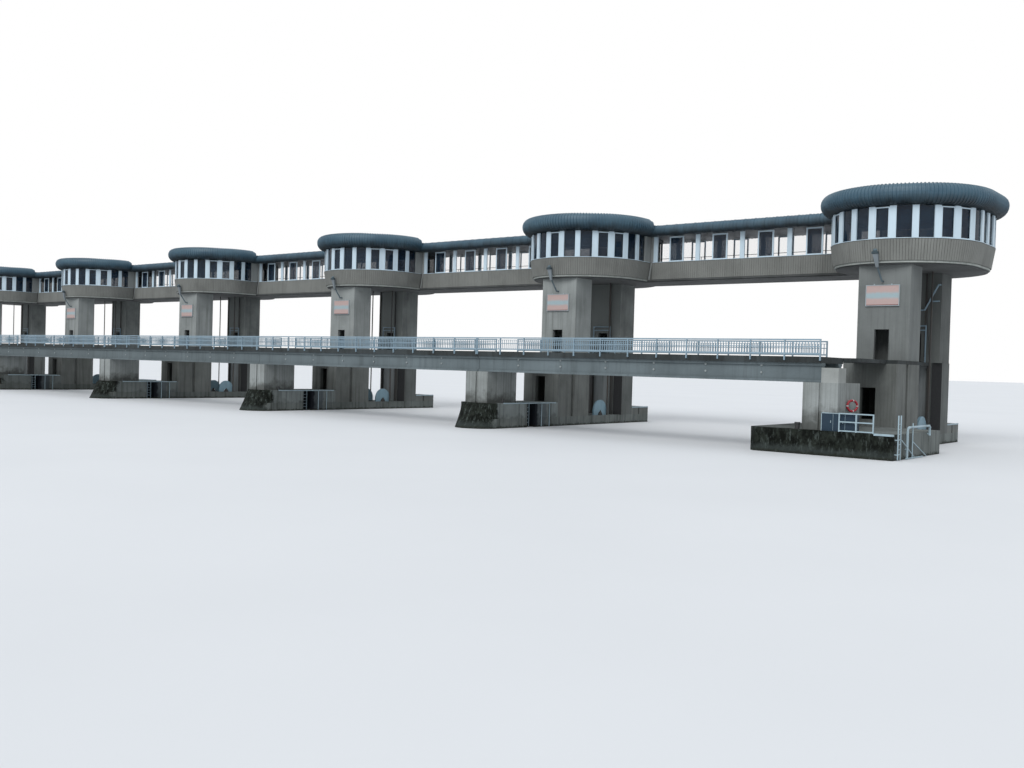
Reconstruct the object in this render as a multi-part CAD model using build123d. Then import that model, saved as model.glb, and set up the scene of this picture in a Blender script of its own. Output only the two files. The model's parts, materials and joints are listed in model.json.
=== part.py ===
"""Gated river barrage with six hoist cabins, glazed gangways and a service bridge, one tenth of real size."""

import math
import os

from build123d import *

os.makedirs("parts", exist_ok=True)

# All lengths are millimetres at one tenth of real size. X runs along the barrage, the river flows
# along Y and the water stands at Z = 0. Distances along Y named "ahead" or "behind" are counted
# from the front face of the front towers.
pier_count = 6
pier_spacing = 2800
seat = 0.3

# Plinths and platforms
shaft_width = 368
nose_centre_ahead = 1024
nose_batter = 110
plinth_top = 76
platform_top = 198
downstream_length = 283
downstream_top = 144
downstream_groove_width = 20
downstream_groove_depth = 10
downstream_groove_behind = 122
end_platform_left = 445
end_platform_right = 470
end_platform_ahead = 1110
end_platform_top = 152
end_platform_chamfer = 40

# Lower shafts
shaft_front_ahead = 225
shaft_rear_behind = 225
shaft_wall = 40
shaft_floor = 20
stoplog_slot_width = 40
stoplog_slot_depth = 18
stoplog_slot_ahead = 22
rear_shaft_chamfer = 55
landing_thickness = 25

# Towers
tower_set_back = 4
tower_depth = 230
tower_gap = 467
tower_wall = 30
door_width = 102
door_height = 216
door_shift = -8

# Gate gear between the towers
guide_width = 22
guide_depth = 18
guide_inset = 4
rod_radius = 6
rod_offset = 150
rod_behind = 566
cover_width = 200
cover_straight = 35
cover_thickness = 16
cover_outside = 140
cover_shift = 15
cover_notch_radius = 34
landing_width = 220
guard_inset = 35
guard_height = 276
guard_tube = 8
guard_bar_drop = 32
guard_ahead_of_wall = 12

# Service bridge
deck_top = 602
deck_thickness = 39
bridge_width = 360
bridge_behind_nose = 41
girder_height = 120
girder_web = 34
girder_flange = 60
girder_flange_thickness = 16
girder_inset = 14
expansion_joint = 4
bridge_pier_width = 224
bridge_pier_groove = 18
bridge_pier_groove_depth = 10
seat_block_height = 92
seat_block_depth = 120

# Bridge railings
rail_height = 109
rail_post = 8
rail_bar = 9
rail_depth = 10
rail_bottom = 14
rail_drop = 24
rail_bays = 12
rail_middle_drop = 45
rail_middle_bar = 5

# Hoist cabins
cabin_front_ahead = 91
cabin_straight = 244
soffit_bottom = 1262
soffit_thickness = 10
soffit_set_back = 12
lip_thickness = 13
lip_set_back = 6
cladding_top_radius = 524
cladding_lean = 23
cladding_height = 151
cladding_thickness = 27
window_height = 222
glass_thickness = 4
glass_set_back = 12
cabin_bays = 26
cabin_mullion_width = 44
cabin_mullion_set_back = 0.7
roof_overhang = 83
roof_height = 147
roof_top_round = 62
roof_foot_round = 80

# Gangways
gangway_front_behind = 627
gangway_width = 400
gangway_wall = 24
gangway_lip = 8
gangway_joint = 18
gangway_mullion_width = 40
gangway_mullion_depth = 12
gangway_roof_height = 91
gangway_roof_overhang = 90
gangway_roof_round = 50
gangway_roof_foot_round = 34
pilaster_width = 11
junction_panel_width = 94

# Fittings
board_width = 228
board_height = 141
board_thickness = 8
board_foot = 380
lamp_foot_drop = 112
lamp_rise = 192
lamp_clearance = 13
lamp_lean = 24
lamp_elbow = 30
lamp_arm_radius = 6
lamp_head_radius = 14
lamp_head_length = 44
lamp_head_tilt = 35
ladder_width = 50
ladder_stringer = 6
ladder_rung_radius = 2
ladder_rung_pitch = 30
ladder_stand_off = 16
ladder_foot = 6
ladder_ahead = 584
ladder_notch = 100
ladder_notch_depth = 60
platform_rail_offset = 141
platform_rail_length = 213
platform_rail_height = 114
platform_rail_tube = 7
platform_rail_foot = 3
cabinet_offset = 25
cabinet_width = 223
cabinet_depth = 32
cabinet_height = 110
bollard_radius = 14
bollard_height = 42
bollard_cap_radius = 18
bollard_cap_height = 10
bollard_offset = -130
bollard_inset = 30
river_bollard_radius = 13
river_bollard_height = 33
river_bollard_offset = 160
river_bollard_ahead = 920
buoy_radius = 33
buoy_tube = 7
buoy_hook = 3
buoy_turn = 40
buoy_ahead = 893
buoy_height = 304

# Levels and places that follow
nose_radius = shaft_width / 2
tower_width = shaft_width - 2 * tower_set_back
cladding_foot_radius = cladding_top_radius - cladding_lean
lip_radius = cladding_foot_radius - lip_set_back
soffit_radius = lip_radius - soffit_set_back
glass_radius = cladding_top_radius - glass_set_back
roof_radius = cladding_top_radius + roof_overhang
cabin_centre_behind = cladding_top_radius - cabin_front_ahead
lamp_reach = cabin_front_ahead + lamp_clearance
guide_spacing = landing_width - guide_inset
guard_width = landing_width - guard_inset
face = (nose_centre_ahead + nose_radius - cabin_centre_behind - cabin_straight - roof_radius) / 2
nose_centre = face - nose_centre_ahead
shaft_front = face - shaft_front_ahead
shaft_rear = face + shaft_rear_behind
rear_face = face + tower_depth + tower_gap
pier_rear = rear_face + tower_depth
downstream_end = pier_rear + downstream_length
landing_bottom = deck_top - landing_thickness
bridge_front = nose_centre - nose_radius + nose_batter + bridge_behind_nose
bridge_rear = bridge_front + bridge_width
girder_top = deck_top - deck_thickness
girder_foot = girder_top - girder_height
lip_bottom = soffit_bottom + soffit_thickness
floor_top = lip_bottom + lip_thickness
sill = floor_top + cladding_height
head = sill + window_height
cabin_centre = face + cabin_centre_behind
gangway_front = face + gangway_front_behind
gangway_rear = gangway_front + gangway_width
passage_front = gangway_front + gangway_wall
passage_rear = gangway_rear - gangway_wall

half_spacing = pier_spacing / 2
pier_places = [(i - (pier_count - 1) / 2) * pier_spacing for i in range(pier_count)]
river_piers = pier_places[:-1]
end_pier = pier_places[-1]
span_places = [x + half_spacing for x in river_piers]


def block(x_low, x_high, y_low, y_high, z_low, z_high):
    """A plain slab or post between two corners."""
    size = (x_high - x_low, y_high - y_low, z_high - z_low)
    return Pos(x_low, y_low, z_low) * Box(*size, align=(Align.MIN,) * 3)


def upright(radius, height, z=0):
    """A round post standing on the level z."""
    post = Cylinder(radius, height, align=(Align.CENTER, Align.CENTER, Align.MIN))
    return Pos(0, 0, z) * post


def oval(radius, z):
    """The cabin's plan outline, two half circles joined by short straight sides."""
    outline = SlotCenterToCenter(cabin_straight, 2 * radius, rotation=90)
    return Pos(0, cabin_centre + cabin_straight / 2, z) * outline


def at_piers(shape, places=pier_places):
    return [Pos(x, 0, 0) * shape for x in places]


def at_spans(shape):
    return [Pos(x, 0, 0) * shape for x in span_places]


def at_span_ends(shape):
    """A copy of something near the left end of a gangway at both ends of every gangway."""
    return at_spans(shape) + at_spans(shape.mirror(Plane.YZ))


def save(name, solids):
    export_step(Compound(children=list(solids)), f"parts/{name}.step")


def side_slots(y, width, depth):
    """Cutters for an upright slot in each side of a pier."""
    slot = Box(2 * depth, width, 4 * deck_top)
    return [Pos(side * nose_radius, y, 0) * slot for side in (-1, 1)]


def doorway_wall(width, y_front, thickness, z_low, z_high, door_foot):
    """A wall facing the river with one doorway cut through it."""
    wall = block(-width / 2, width / 2, y_front, y_front + thickness, z_low, z_high)
    door = block(
        door_shift - door_width / 2,
        door_shift + door_width / 2,
        y_front - 1,
        y_front + thickness + 1,
        door_foot - (1 if door_foot == z_low else 0),
        door_foot + door_height,
    )
    return wall - door


def three_walls(width, y_front, y_rear, thickness, z_low, z_high):
    """Side walls and rear wall in one piece, open towards the front wall."""
    outside = block(-width / 2, width / 2, y_front, y_rear, z_low, z_high)
    room = block(
        thickness - width / 2,
        width / 2 - thickness,
        y_front - 1,
        y_rear - thickness,
        z_low - 1,
        z_high + 1,
    )
    return outside - room


def pier_outline(level, y_rear):
    """A pier's plan outline at a level; its round nose is drawn back as it rises."""
    drawn_back = nose_batter * level / platform_top
    nose = ThreePointArc(
        (-nose_radius, nose_centre),
        (0, nose_centre - nose_radius + drawn_back),
        (nose_radius, nose_centre),
    )
    sides = Polyline(
        (nose_radius, nose_centre),
        (nose_radius, y_rear),
        (-nose_radius, y_rear),
        (-nose_radius, nose_centre),
    )
    return Pos(0, 0, level) * make_face(nose.edges() + sides.edges())


def pier_body(low, high, y_rear):
    return loft([pier_outline(low, y_rear), pier_outline(high, y_rear)], ruled=True)


# Plinths: a round battered nose and a long body that carries shafts and platforms
ladder_centre = face - ladder_ahead
notch = block(
    nose_radius - ladder_notch_depth,
    nose_radius + 1,
    ladder_centre - ladder_notch / 2,
    ladder_centre + ladder_notch / 2,
    -1,
    platform_top + 1,
)
river_plinth = pier_body(0, plinth_top, downstream_end) - notch
end_plinth = block(-nose_radius, nose_radius, shaft_front, downstream_end, 0, plinth_top)
save("pier_plinths", at_piers(river_plinth, river_piers) + at_piers(end_plinth, [end_pier]))
platform = pier_body(plinth_top, platform_top, shaft_front) - notch
save("nose_platforms", at_piers(platform, river_piers))

downstream_block = block(
    -nose_radius, nose_radius, pier_rear, downstream_end, plinth_top, downstream_top
)
downstream_block -= side_slots(
    pier_rear + downstream_groove_behind, downstream_groove_width, downstream_groove_depth
)
save("downstream_blocks", at_piers(downstream_block))

# The bank pier stands behind one wide platform
end_front = face - end_platform_ahead
end_platform = block(
    -end_platform_left, end_platform_right, end_front, shaft_front, 0, end_platform_top
)
river_corner = end_platform.edges().filter_by(Axis.Z).sort_by(Axis.X)[:2].sort_by(Axis.Y)[0]
end_platform = chamfer(river_corner, end_platform_chamfer)
save("end_platform", at_piers(end_platform, [end_pier]))

# Front shafts: hollow, entered from the platform
front_shaft_wall = doorway_wall(
    shaft_width, shaft_front, shaft_wall, plinth_top, landing_bottom, platform_top
)
save("front_shaft_doorway_walls", at_piers(front_shaft_wall))
shaft_walls = three_walls(
    shaft_width, shaft_front + shaft_wall, shaft_rear, shaft_wall, plinth_top, landing_bottom
)
shaft_walls -= side_slots(face - stoplog_slot_ahead, stoplog_slot_width, stoplog_slot_depth)
save("front_shaft_walls", at_piers(shaft_walls))
room_half = nose_radius - shaft_wall
shaft_floor_slab = block(
    -room_half,
    room_half,
    shaft_front + shaft_wall,
    shaft_rear - shaft_wall,
    platform_top - shaft_floor,
    platform_top,
)
save("front_shaft_floors", at_piers(shaft_floor_slab))
shaft_landing = block(-nose_radius, nose_radius, shaft_front, shaft_rear, landing_bottom, deck_top)
save("front_shaft_landings", at_piers(shaft_landing))

# Rear shafts: mass concrete with chamfered corners towards the gates
rear_shaft = block(-nose_radius, nose_radius, rear_face, pier_rear, plinth_top, deck_top)
gate_corners = rear_shaft.edges().filter_by(Axis.Z).sort_by(Axis.Y)[:2]
save("rear_shafts", at_piers(chamfer(gate_corners, rear_shaft_chamfer)))

# Towers: hollow, with a door at deck level
for name, y_front in (("front_tower", face), ("rear_tower", rear_face)):
    doorway = doorway_wall(tower_width, y_front, tower_wall, deck_top, soffit_bottom, deck_top)
    save(f"{name}_doorway_walls", at_piers(doorway))
    walls = three_walls(
        tower_width,
        y_front + tower_wall,
        y_front + tower_depth,
        tower_wall,
        deck_top,
        soffit_bottom,
    )
    save(f"{name}_walls", at_piers(walls))

# Gate gear: landing, guides, hoist rods, arched covers and a guard frame
landing = block(
    -landing_width / 2, landing_width / 2, shaft_rear, rear_face, landing_bottom, deck_top
)
save("gap_landings", at_piers(landing))
guides = []
rods = []
covers = []
cover_profile = Pos(0, cover_straight) * Circle(cover_width / 2)
cover_profile += Pos(0, cover_straight / 2) * Rectangle(cover_width, cover_straight)
cover_profile -= Pos(0, -cover_width / 2) * Rectangle(2 * cover_width, cover_width)
cover_profile -= Circle(cover_notch_radius)
cover = extrude(Plane.YZ * cover_profile, cover_thickness)
cover_place = (shaft_rear + rear_face) / 2 + cover_shift
for side in (-1, 1):
    x = side * guide_spacing / 2
    guides.append(
        block(
            x - guide_width / 2,
            x + guide_width / 2,
            rear_face - guide_depth,
            rear_face,
            plinth_top,
            landing_bottom,
        )
    )
    rod = upright(rod_radius, soffit_bottom - plinth_top, plinth_top)
    rods.append(Pos(side * rod_offset, face + rod_behind, 0) * rod)
    inside = cover_outside - cover_thickness if side > 0 else -cover_outside
    covers.append(Pos(inside, cover_place, plinth_top) * cover)
save("gate_guides", [s for shape in guides for s in at_piers(shape)])
save("hoist_rods", [s for shape in rods for s in at_piers(shape)])
save("gate_covers", [s for shape in covers for s in at_piers(shape)])

guard_inside = guard_width - 2 * guard_tube
guard_profile = Pos(0, guard_height / 2) * Rectangle(guard_width, guard_height)
guard_profile -= Pos(0, (guard_height - guard_tube) / 2) * Rectangle(
    guard_inside, guard_height - guard_tube
)
guard_profile += Pos(0, guard_height - guard_bar_drop - guard_tube / 2) * Rectangle(
    guard_width, guard_tube
)
guard = extrude(Plane.XZ * guard_profile, guard_tube)
save(
    "guard_frames",
    at_piers(Pos(door_shift, rear_face - guard_ahead_of_wall, deck_top) * guard),
)

# Bridge piers stand on the platforms and carry two steel girders under each deck
pier_half = bridge_pier_width / 2
groove = Pos(0, bridge_front) * Box(
    bridge_pier_groove, 2 * bridge_pier_groove_depth, 4 * deck_top
)
bridge_pier = block(-pier_half, pier_half, bridge_front, bridge_rear, platform_top, girder_foot)
end_bridge_pier = block(
    -pier_half, pier_half, bridge_front, bridge_rear, end_platform_top, girder_foot
)
save(
    "bridge_piers",
    at_piers(bridge_pier - groove, river_piers) + at_piers(end_bridge_pier - groove, [end_pier]),
)
seat_block = block(
    expansion_joint,
    pier_half,
    bridge_front,
    bridge_front + seat_block_depth,
    girder_foot,
    girder_foot + seat_block_height,
)
save("end_seat_block", at_piers(seat_block, [end_pier]))

span_half = (pier_spacing - expansion_joint) / 2
web = Rectangle(girder_web, girder_height)
flange = Rectangle(girder_flange, girder_flange_thickness)
flange_place = (girder_height - girder_flange_thickness) / 2
girder_profile = web + Pos(0, flange_place) * flange + Pos(0, -flange_place) * flange
girder = extrude(Plane.YZ * girder_profile, span_half, both=True)
girder_middle = (girder_foot + girder_top) / 2
girders = []
for y in (
    bridge_front + girder_inset + girder_flange / 2,
    bridge_rear - girder_inset - girder_flange / 2,
):
    girders += at_spans(Pos(0, y, girder_middle) * girder)
save("bridge_girders", girders)
deck = block(-span_half, span_half, bridge_front, bridge_rear, girder_top, deck_top)
save("bridge_decks", at_spans(deck))
access_slab = block(
    -landing_width / 2, landing_width / 2, bridge_rear, shaft_front, landing_bottom, deck_top
)
save("access_slabs", at_piers(access_slab))


def railing(half_length, bays, y_inside, outward):
    """Posts on the deck's edge face with three rails; outward is -1 or 1 along Y."""
    y_low = min(y_inside, y_inside + outward * rail_depth)
    y_high = y_low + rail_depth
    top = deck_top + rail_height
    rails = (
        (top - rail_bar, top),
        (top - rail_middle_drop - rail_middle_bar, top - rail_middle_drop),
        (deck_top + rail_bottom, deck_top + rail_bottom + rail_bar),
    )
    bars = [block(-half_length, half_length, y_low, y_high, *levels) for levels in rails]
    step = (2 * half_length - rail_post) / bays
    for i in range(bays + 1):
        x = i * step - half_length
        bars.append(block(x, x + rail_post, y_low, y_high, deck_top - rail_drop, top))
    return bars[0] + bars[1:]


save("front_railings", at_spans(railing(span_half, rail_bays, bridge_front, -1)))
rear_rail_half = (pier_spacing - landing_width) / 2
save("rear_railings", at_spans(railing(rear_rail_half, rail_bays - 1, bridge_rear, 1)))

# Cabin floors: a soffit slab on the towers and a wider slab whose rim shows as a lip
soffit = extrude(oval(soffit_radius, soffit_bottom), soffit_thickness)
save("cabin_soffits", at_piers(soffit))
save("cabin_floors", at_piers(extrude(oval(lip_radius, lip_bottom), lip_thickness)))


def cladding_body(extra):
    """The cladding's outline, leaning outwards from the floor to the sill."""
    foot = oval(cladding_foot_radius + extra, floor_top)
    return loft([foot, oval(cladding_top_radius + extra, sill)], ruled=True)


cladding = cladding_body(0) - cladding_body(-cladding_thickness)
glass = extrude(oval(glass_radius, sill), window_height)
glass -= extrude(oval(glass_radius - glass_thickness, sill), window_height)
right_passage = block(0, 2 * roof_radius, passage_front, passage_rear, floor_top, head + 1)
left_passage = right_passage.mirror(Plane.YZ)


def joined_sides(x):
    """The sides, -1 or 1, on which a gangway joins the cabin at x."""
    return [side for side, last in ((-1, pier_places[0]), (1, end_pier)) if x != last]


def per_cabin(shape):
    """One copy for each pier, opened where a gangway joins it."""
    copies = []
    for x in pier_places:
        opened = shape
        for side in joined_sides(x):
            opened = opened - (right_passage if side > 0 else left_passage)
        copies += [Pos(x, 0, 0) * s for s in opened.solids()]
    return copies


save("cabin_cladding", per_cabin(cladding))
save("cabin_glass", per_cabin(glass))


def on_oval(radius, travel):
    """The point at a distance along the oval from its front centre, and the turn from the front."""
    side = 1 if travel > 0 else -1
    bend = math.pi * radius / 2
    along = min(max(abs(travel) - bend, 0), cabin_straight)
    angle = (abs(travel) - along) / radius
    x = side * radius * math.sin(angle)
    return x, cabin_centre + along - radius * math.cos(angle), side * math.degrees(angle)


# Broad window mullions stand at equal steps around the cabin and stop beside the gangways
mullion_radius = glass_radius + seat
mullion_step = 2 * (math.pi * mullion_radius + cabin_straight) / cabin_bays
mullion_depth = glass_set_back - seat - cabin_mullion_set_back
mullion = block(
    -cabin_mullion_width / 2, cabin_mullion_width / 2, -mullion_depth, 0, sill, head
)
panel_front = gangway_front - junction_panel_width
mullions = []
for i in range(cabin_bays):
    travel = (i + 0.5 - cabin_bays / 2) * mullion_step
    x, y, turn = on_oval(mullion_radius, travel)
    beside = panel_front - cabin_mullion_width < y < passage_rear + cabin_mullion_width / 2
    side = 1 if x > 0 else -1
    places = [p for p in pier_places if not (beside and side in joined_sides(p))]
    mullions += at_piers(Pos(x, y, 0) * Rot(0, 0, turn) * mullion, places)
save("cabin_mullions", mullions)


def cabin_roof(extra):
    """The fat rounded roof; extra enlarges it to make room beside it."""
    roof = extrude(oval(roof_radius + extra, head - extra), roof_height + 2 * extra)
    roof = fillet(roof.faces().sort_by(Axis.Z)[-1].edges(), roof_top_round)
    return fillet(roof.faces().sort_by(Axis.Z)[0].edges(), roof_foot_round)


def roof_trench(side):
    """The space over a gangway's roof, which runs on at one level between the parts of the cabin's roof."""
    y_low = gangway_front - gangway_roof_overhang
    y_high = gangway_rear + gangway_roof_overhang
    z_low = head + gangway_roof_height
    rounding = roof_height - gangway_roof_height
    trench = Pos((y_low + y_high) / 2, z_low + roof_height / 2) * Rectangle(
        y_high - y_low + 2 * rounding, roof_height
    )
    for y in (y_low - rounding, y_high + rounding):
        trench -= Pos(y, z_low) * Circle(rounding)
    return extrude(Plane.YZ * trench, side * 2 * roof_radius)


roofs = []
for x in pier_places:
    roof = cabin_roof(0)
    for side in joined_sides(x):
        roof = roof - roof_trench(side)
    roofs += at_piers(roof, [x])
save("cabin_roofs", roofs)


def cabin_room(clearance):
    """The space one cabin takes below its roof."""
    room = extrude(oval(soffit_radius + clearance, soffit_bottom - 1), soffit_thickness + 1)
    room += extrude(oval(lip_radius + clearance, lip_bottom), lip_thickness)
    room += cladding_body(clearance)
    return room + extrude(oval(cladding_top_radius + clearance, sill), window_height)


def between_cabins(shape, room):
    """The part of a shape along a gangway that the cabins at both ends leave free."""
    for x in (-half_spacing, half_spacing):
        shape = shape - Pos(x, 0, 0) * room
    return shape.solids().sort_by(lambda s: abs(s.center().X))[0]


# Gangways: floor beams, boarded walls, windows and rounded roofs between the cabins
beam = block(
    -half_spacing,
    half_spacing,
    gangway_front + gangway_lip,
    gangway_rear - gangway_lip,
    soffit_bottom,
    lip_bottom,
)
beam += block(-half_spacing, half_spacing, gangway_front, gangway_rear, lip_bottom, floor_top)
save("gangway_floors", at_spans(between_cabins(beam, cabin_room(seat))))

wall_half = half_spacing - cladding_top_radius - gangway_joint - pilaster_width
beside_cabin = cabin_room(gangway_joint)
boards = []
for y in (gangway_front, passage_rear):
    wall = block(-half_spacing, half_spacing, y, y + gangway_wall, floor_top, sill)
    boards += at_spans(between_cabins(wall, beside_cabin))
save("gangway_cladding", boards)

glass_inset = gangway_mullion_depth + seat
front_glass = block(
    -wall_half,
    wall_half,
    gangway_front + glass_inset,
    gangway_front + glass_inset + glass_thickness,
    sill,
    head,
)
rear_glass = block(
    -half_spacing,
    half_spacing,
    gangway_rear - glass_inset - glass_thickness,
    gangway_rear - glass_inset,
    sill,
    head,
)
save("gangway_glass", at_spans(front_glass) + at_spans(between_cabins(rear_glass, beside_cabin)))

posts = []
post_half = gangway_mullion_width / 2
post_step = (wall_half - post_half) / 2
for i in range(-2, 3):
    x = i * post_step
    for y in (gangway_front, gangway_rear - gangway_mullion_depth):
        post = block(x - post_half, x + post_half, y, y + gangway_mullion_depth, sill, head)
        posts += at_spans(post)
save("gangway_mullions", posts)

# Where gangway and cabin meet: a pilaster on the gangway's wall and a panel on the cabin's side
pilaster = block(
    -wall_half - pilaster_width,
    -wall_half,
    gangway_front,
    gangway_front + gangway_wall,
    sill,
    head,
)
panel = Pos(-half_spacing, 0, 0) * block(
    mullion_radius, cladding_top_radius, panel_front, gangway_front, sill, head
)
save("junction_pilasters", at_span_ends(pilaster) + at_span_ends(panel))

gangway_middle = (gangway_front + gangway_rear) / 2
roof_profile = Rectangle(gangway_width + 2 * gangway_roof_overhang, gangway_roof_height)
roof_profile = fillet(roof_profile.vertices().group_by(Axis.Y)[-1], gangway_roof_round)
roof_profile = fillet(roof_profile.vertices().group_by(Axis.Y)[0], gangway_roof_foot_round)
gangway_roof = extrude(Plane.YZ * roof_profile, half_spacing, both=True)
gangway_roof = Pos(0, gangway_middle, head + gangway_roof_height / 2) * gangway_roof
save("gangway_roofs", at_spans(between_cabins(gangway_roof, cabin_roof(seat))))

# Fittings on the tower fronts
board = block(
    door_shift - board_width / 2,
    door_shift + board_width / 2,
    face - board_thickness,
    face,
    deck_top + board_foot,
    deck_top + board_foot + board_height,
)
save("signal_boards", at_piers(board))

lamp_foot = soffit_bottom - lamp_foot_drop
lamp_middle = (
    door_shift - lamp_lean / 2,
    face - 0.9 * lamp_reach,
    lamp_foot + lamp_rise / 2,
)
lamp_end = (door_shift - lamp_lean, face - lamp_reach, lamp_foot + lamp_rise)
arm_line = Polyline(
    (door_shift, face, lamp_foot),
    (door_shift, face - lamp_elbow, lamp_foot),
    lamp_middle,
    lamp_end,
)
arm = sweep(
    Plane(origin=arm_line @ 0, z_dir=arm_line % 0) * Circle(lamp_arm_radius),
    path=arm_line,
    transition=Transition.RIGHT,
)
lamp_head = Pos(*lamp_end) * Rot(lamp_head_tilt, 0, 0) * Cylinder(lamp_head_radius, lamp_head_length)
save("sign_lamps", at_piers(arm + lamp_head))


def ladder(z_high):
    """A steel ladder facing +X, its back at X = 0, on four short brackets."""
    half = ladder_stringer / 2
    bars = []
    for side in (-1, 1):
        y = side * (ladder_width - ladder_stringer) / 2
        outer = ladder_stand_off + ladder_stringer
        bars.append(block(ladder_stand_off, outer, y - half, y + half, ladder_foot, z_high))
        for z in (ladder_foot + ladder_rung_pitch, end_platform_top - ladder_rung_pitch):
            bars.append(block(0, ladder_stand_off, y - half, y + half, z - half, z + half))
    rung = Rot(90, 0, 0) * Cylinder(ladder_rung_radius, ladder_width - ladder_stringer)
    for i in range(1, int((z_high - ladder_foot) / ladder_rung_pitch)):
        bars.append(Pos(ladder_stand_off + half, 0, ladder_foot + i * ladder_rung_pitch) * rung)
    return bars[0] + bars[1:]


river_ladder = Pos(nose_radius - ladder_notch_depth, ladder_centre, 0) * ladder(platform_top)
save("pier_ladders", at_piers(river_ladder, river_piers))
end_ladder = ladder(end_platform_top + platform_rail_height)
end_ladder = Pos(end_platform_right, end_front + ladder_width, 0) * end_ladder
save("end_ladder", at_piers(end_ladder, [end_pier]))

# Fittings on the bank platform
rail_end = platform_rail_offset + platform_rail_length
rail_rear = end_front + platform_rail_tube
rail_parts = []
for z in (
    platform_rail_foot,
    platform_rail_height / 2,
    platform_rail_height - platform_rail_tube,
):
    z_low = end_platform_top + z
    rail_parts.append(
        block(platform_rail_offset, rail_end, end_front, rail_rear, z_low, z_low + platform_rail_tube)
    )
for i in range(3):
    x = platform_rail_offset + i * (platform_rail_length - platform_rail_tube) / 2
    z_high = end_platform_top + platform_rail_height
    rail_parts.append(
        block(x, x + platform_rail_tube, end_front, rail_rear, end_platform_top, z_high)
    )
save("end_platform_railing", at_piers(rail_parts[0] + rail_parts[1:], [end_pier]))

cabinet = block(
    cabinet_offset,
    cabinet_offset + cabinet_width,
    bridge_front - cabinet_depth,
    bridge_front,
    end_platform_top,
    end_platform_top + cabinet_height,
)
save("equipment_cabinet", at_piers(cabinet, [end_pier]))

bollard = upright(bollard_radius, bollard_height)
bollard += upright(bollard_cap_radius, bollard_cap_height, bollard_height - bollard_cap_height)
bollard = Pos(bollard_offset, end_front + bollard_inset, end_platform_top) * bollard
river_bollard = Pos(river_bollard_offset, face - river_bollard_ahead, 0) * upright(
    river_bollard_radius, river_bollard_height, platform_top
)
save("bollard", at_piers(bollard, [end_pier]) + at_piers(river_bollard, river_piers))

# The lifebuoy hangs on a hook beside the bank's bridge pier, turned towards the river
buoy_out = seat + buoy_tube + buoy_radius * math.sin(math.radians(buoy_turn))
ring = Rot(0, 0, -buoy_turn) * Rot(0, 90, 0) * Torus(buoy_radius, buoy_tube)
hook_length = buoy_out - seat
hook = Pos(-hook_length / 2, 0, buoy_radius) * Rot(0, 90, 0) * Cylinder(buoy_hook, hook_length)
buoy = Pos(pier_half + buoy_out, face - buoy_ahead, buoy_height) * (ring + hook)
save("lifebuoy", at_piers(buoy, [end_pier]))
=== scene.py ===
import bmesh
import bpy
import json
import math
from mathutils import Matrix, Vector


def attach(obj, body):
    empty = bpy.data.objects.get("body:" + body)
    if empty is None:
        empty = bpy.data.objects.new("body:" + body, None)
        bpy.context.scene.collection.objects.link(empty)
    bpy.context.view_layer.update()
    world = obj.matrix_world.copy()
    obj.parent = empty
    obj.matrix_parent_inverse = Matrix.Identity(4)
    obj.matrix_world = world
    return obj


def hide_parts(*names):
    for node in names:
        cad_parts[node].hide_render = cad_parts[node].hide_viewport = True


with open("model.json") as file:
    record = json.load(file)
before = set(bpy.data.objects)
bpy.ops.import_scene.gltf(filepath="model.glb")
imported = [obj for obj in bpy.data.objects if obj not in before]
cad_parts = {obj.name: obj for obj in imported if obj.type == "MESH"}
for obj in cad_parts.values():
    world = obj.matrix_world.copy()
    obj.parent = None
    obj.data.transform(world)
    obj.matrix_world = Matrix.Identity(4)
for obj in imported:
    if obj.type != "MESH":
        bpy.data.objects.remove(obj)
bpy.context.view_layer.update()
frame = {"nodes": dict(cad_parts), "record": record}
scene = bpy.context.scene
nodes = frame["nodes"]

# Camera at the photograph's place, standing on the bank upstream of the end pier
EYE = (9.48243, -7.13984, 0.49245)
YAW, PITCH, ROLL = -0.68332, -0.01768, 0.02788
SENSOR = 36
FOCAL = 1019.61 / 1024 * SENSOR

# Driving sizes of the barrage in metres, as in the part's source. Y runs downstream, Z up.
SPACING = 2.8
HALF = SPACING / 2
PIERS = [SPACING * i - 7 for i in range(6)]
SPANS = [SPACING * i - 5.6 for i in range(5)]
FACE = -0.038  # front of the front towers
GAP_FRONT = FACE + 0.225
REAR_FACE = FACE + 0.697  # front of the rear towers
PIER_REAR = FACE + 0.927
PLINTH_TOP, BLOCK_TOP, BANK_TOP, RIVER_TOP = 0.076, 0.144, 0.152, 0.198
NOTCH = FACE - 0.584  # middle of the river platforms' ladder notch
DECK_TOP = 0.602
BRIDGE_FRONT = FACE - 1.057
BRIDGE_REAR = BRIDGE_FRONT + 0.36
GIRDER_WEB = BRIDGE_FRONT + 0.014 + 0.060 / 2 - 0.034 / 2  # inset, half a flange, half a web
SOFFIT, LIP, FLOOR, SILL, HEAD, ROOF_TOP = 1.262, 1.272, 1.285, 1.436, 1.658, 1.805
BOARD_X, BOARD_HALF = -0.008, 0.114
BOARD_FOOT, BOARD_HEAD = DECK_TOP + 0.380, DECK_TOP + 0.521
BUOY_Y, BUOY_Z = FACE - 0.893, 0.304

# Cabins: ovals of two half circles and a straight piece between them
CABIN_CENTRE = FACE + 0.433  # centre of the front half circle
STRAIGHT = 0.244
CLAD_FOOT, CLAD_TOP, GLASS, ROOF = 0.501, 0.524, 0.512, 0.607  # radii
BAYS = 26
MULLION = 0.044
RIM_FOOT, RIM_TOP = 0.080, 0.062  # how round the roof's rim is below and above

# Gangways, whose walls' ends are counted from the middle of the span
GANG_FRONT, GANG_REAR = FACE + 0.627, FACE + 1.027
POST_STEP = 0.4135
FRONT_END, REAR_END = 0.856, 0.984
GANG_ROOF_TOP = HEAD + 0.091
GANG_ROOF_FRONT, GANG_ROOF_REAR = GANG_FRONT - 0.090, GANG_REAR + 0.090
GANG_RIM_FOOT, GANG_RIM_TOP = 0.034, 0.050

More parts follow.
